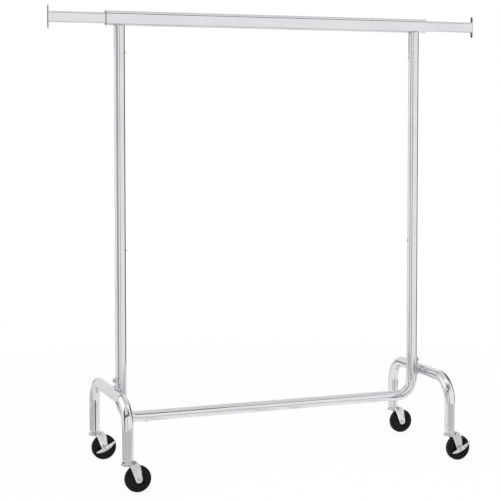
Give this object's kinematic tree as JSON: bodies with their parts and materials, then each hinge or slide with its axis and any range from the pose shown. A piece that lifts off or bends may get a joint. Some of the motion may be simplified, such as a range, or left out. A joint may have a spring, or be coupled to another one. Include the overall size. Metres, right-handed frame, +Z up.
{
  "type": "rolling clothes rack",
  "caption": "Free-standing chrome tube clothes rack: telescoping rectangular hanging rail on posts joined by a base rail, with arched legs on swivel casters and foot brakes.",
  "frame": {"origin": "on the floor, midway between the posts and between the front and rear legs", "axes": "+X along the hanging rail to the right seen from the front, +Y to the back, +Z up"},
  "size_m": [1.62, 0.5021, 1.62],
  "materials": {
    "tube_chrome": "polished chrome plate on round steel tube",
    "rail_chrome": "polished chrome plate on rectangular steel tube",
    "bracket_zinc": "bright plate on formed steel sheet",
    "caster_zinc": "bright zinc plate on stamped steel",
    "fastener_steel": "zinc plated",
    "button_steel": "plain nickel plated",
    "spring_steel": "tempered strip",
    "nylon": "moulded",
    "tyre_rubber": "hard black rubber, satin",
    "hub_plastic": "moulded black"
  },
  "bodies": {
    "frame": {"rail_sleeve": "rail_chrome", "rail_glides": "nylon", "base_rail": "tube_chrome", "bracket_screws": "fastener_steel", "leg_sockets": "nylon", "upper_post_left": "tube_chrome", "lower_post_left": "tube_chrome", "leg_arch_left": "tube_chrome", "rail_spigot_left": "tube_chrome", "post_spigot_left": "tube_chrome", "base_spigot_left": "tube_chrome", "post_bracket_left": "bracket_zinc", "upper_post_right": "tube_chrome", "lower_post_right": "tube_chrome", "leg_arch_right": "tube_chrome", "rail_spigot_right": "tube_chrome", "post_spigot_right": "tube_chrome", "base_spigot_right": "tube_chrome", "post_bracket_right": "bracket_zinc", "button_spring_top_left": "spring_steel", "button_spring_top_right": "spring_steel", "button_spring_mid_left": "spring_steel", "button_spring_mid_right": "spring_steel", "button_spring_base_left": "spring_steel", "button_spring_base_right": "spring_steel", "caster_stem_front_left": "caster_zinc", "caster_stem_rear_left": "caster_zinc", "caster_stem_front_right": "caster_zinc", "caster_stem_rear_right": "caster_zinc"},
    "extension_left": {"extension_rail_left": "rail_chrome", "end_flange_left": "rail_chrome", "extension_guide_left": "nylon"},
    "extension_right": {"extension_rail_right": "rail_chrome", "end_flange_right": "rail_chrome", "extension_guide_right": "nylon"},
    "fork_front_left": {"caster_fork_front_left": "caster_zinc", "wheel_axle_front_left": "fastener_steel"},
    "wheel_front_left": {"wheel_tyre_front_left": "tyre_rubber", "wheel_hub_front_left": "hub_plastic"},
    "fork_rear_left": {"caster_fork_rear_left": "caster_zinc", "wheel_axle_rear_left": "fastener_steel"},
    "wheel_rear_left": {"wheel_tyre_rear_left": "tyre_rubber", "wheel_hub_rear_left": "hub_plastic"},
    "brake_rear_left": {"brake_lever_rear_left": "caster_zinc"},
    "fork_front_right": {"caster_fork_front_right": "caster_zinc", "wheel_axle_front_right": "fastener_steel"},
    "wheel_front_right": {"wheel_tyre_front_right": "tyre_rubber", "wheel_hub_front_right": "hub_plastic"},
    "brake_front_right": {"brake_lever_front_right": "caster_zinc"},
    "fork_rear_right": {"caster_fork_rear_right": "caster_zinc", "wheel_axle_rear_right": "fastener_steel"},
    "wheel_rear_right": {"wheel_tyre_rear_right": "tyre_rubber", "wheel_hub_rear_right": "hub_plastic"},
    "button_top_left": {"snap_button_top_left": "button_steel"},
    "button_top_right": {"snap_button_top_right": "button_steel"},
    "button_mid_left": {"snap_button_mid_left": "button_steel"},
    "button_mid_right": {"snap_button_mid_right": "button_steel"},
    "button_base_left": {"snap_button_base_left": "button_steel"},
    "button_base_right": {"snap_button_base_right": "button_steel"}
  },
  "joints": [
    {"name": "extension_left_slide", "type": "slide", "parent": "frame", "child": "extension_left", "axis": [-1, 0, 0], "range_m": [-0.196, 0.0495]},
    {"name": "extension_right_slide", "type": "slide", "parent": "frame", "child": "extension_right", "axis": [1, 0, 0], "range_m": [-0.196, 0.0495]},
    {"name": "swivel_front_left", "type": "hinge", "parent": "frame", "child": "fork_front_left", "pos_m": [-0.6012, -0.228, 0.098], "axis": [0, 0, 1], "continuous": true},
    {"name": "roll_front_left", "type": "hinge", "parent": "fork_front_left", "child": "wheel_front_left", "pos_m": [-0.5682, -0.228, 0.045], "axis": [0, 1, 0], "continuous": true},
    {"name": "swivel_rear_left", "type": "hinge", "parent": "frame", "child": "fork_rear_left", "pos_m": [-0.6012, 0.228, 0.098], "axis": [0, 0, 1], "continuous": true},
    {"name": "roll_rear_left", "type": "hinge", "parent": "fork_rear_left", "child": "wheel_rear_left", "pos_m": [-0.5682, 0.228, 0.045], "axis": [0, 1, 0], "continuous": true},
    {"name": "brake_rear_left_rock", "type": "hinge", "parent": "fork_rear_left", "child": "brake_rear_left", "pos_m": [-0.5682, 0.228, 0.045], "axis": [0, 1, 0], "range_deg": [0, 56]},
    {"name": "swivel_front_right", "type": "hinge", "parent": "frame", "child": "fork_front_right", "pos_m": [0.6012, -0.228, 0.098], "axis": [0, 0, 1], "continuous": true},
    {"name": "roll_front_right", "type": "hinge", "parent": "fork_front_right", "child": "wheel_front_right", "pos_m": [0.6342, -0.228, 0.045], "axis": [0, 1, 0], "continuous": true},
    {"name": "brake_front_right_rock", "type": "hinge", "parent": "fork_front_right", "child": "brake_front_right", "pos_m": [0.6342, -0.228, 0.045], "axis": [0, 1, 0], "range_deg": [0, 56]},
    {"name": "swivel_rear_right", "type": "hinge", "parent": "frame", "child": "fork_rear_right", "pos_m": [0.6012, 0.228, 0.098], "axis": [0, 0, 1], "continuous": true},
    {"name": "roll_rear_right", "type": "hinge", "parent": "fork_rear_right", "child": "wheel_rear_right", "pos_m": [0.6342, 0.228, 0.045], "axis": [0, 1, 0], "continuous": true},
    {"name": "button_top_left_press", "type": "slide", "parent": "frame", "child": "button_top_left", "axis": [-1, 0, 0], "range_m": [0, 0.005], "stiffness_N_per_m": 1500, "springref_m": -0.002, "deforming": ["button_spring_top_left"]},
    {"name": "button_top_right_press", "type": "slide", "parent": "frame", "child": "button_top_right", "axis": [1, 0, 0], "range_m": [0, 0.005], "stiffness_N_per_m": 1500, "springref_m": -0.002, "deforming": ["button_spring_top_right"]},
    {"name": "button_mid_left_press", "type": "slide", "parent": "frame", "child": "button_mid_left", "axis": [-1, 0, 0], "range_m": [0, 0.005], "stiffness_N_per_m": 1500, "springref_m": -0.002, "deforming": ["button_spring_mid_left"]},
    {"name": "button_mid_right_press", "type": "slide", "parent": "frame", "child": "button_mid_right", "axis": [1, 0, 0], "range_m": [0, 0.005], "stiffness_N_per_m": 1500, "springref_m": -0.002, "deforming": ["button_spring_mid_right"]},
    {"name": "button_base_left_press", "type": "slide", "parent": "frame", "child": "button_base_left", "axis": [0, 0, 1], "range_m": [0, 0.005], "stiffness_N_per_m": 1500, "springref_m": -0.002, "deforming": ["button_spring_base_left"]},
    {"name": "button_base_right_press", "type": "slide", "parent": "frame", "child": "button_base_right", "axis": [0, 0, 1], "range_m": [0, 0.005], "stiffness_N_per_m": 1500, "springref_m": -0.002, "deforming": ["button_spring_base_right"]}
  ]
}
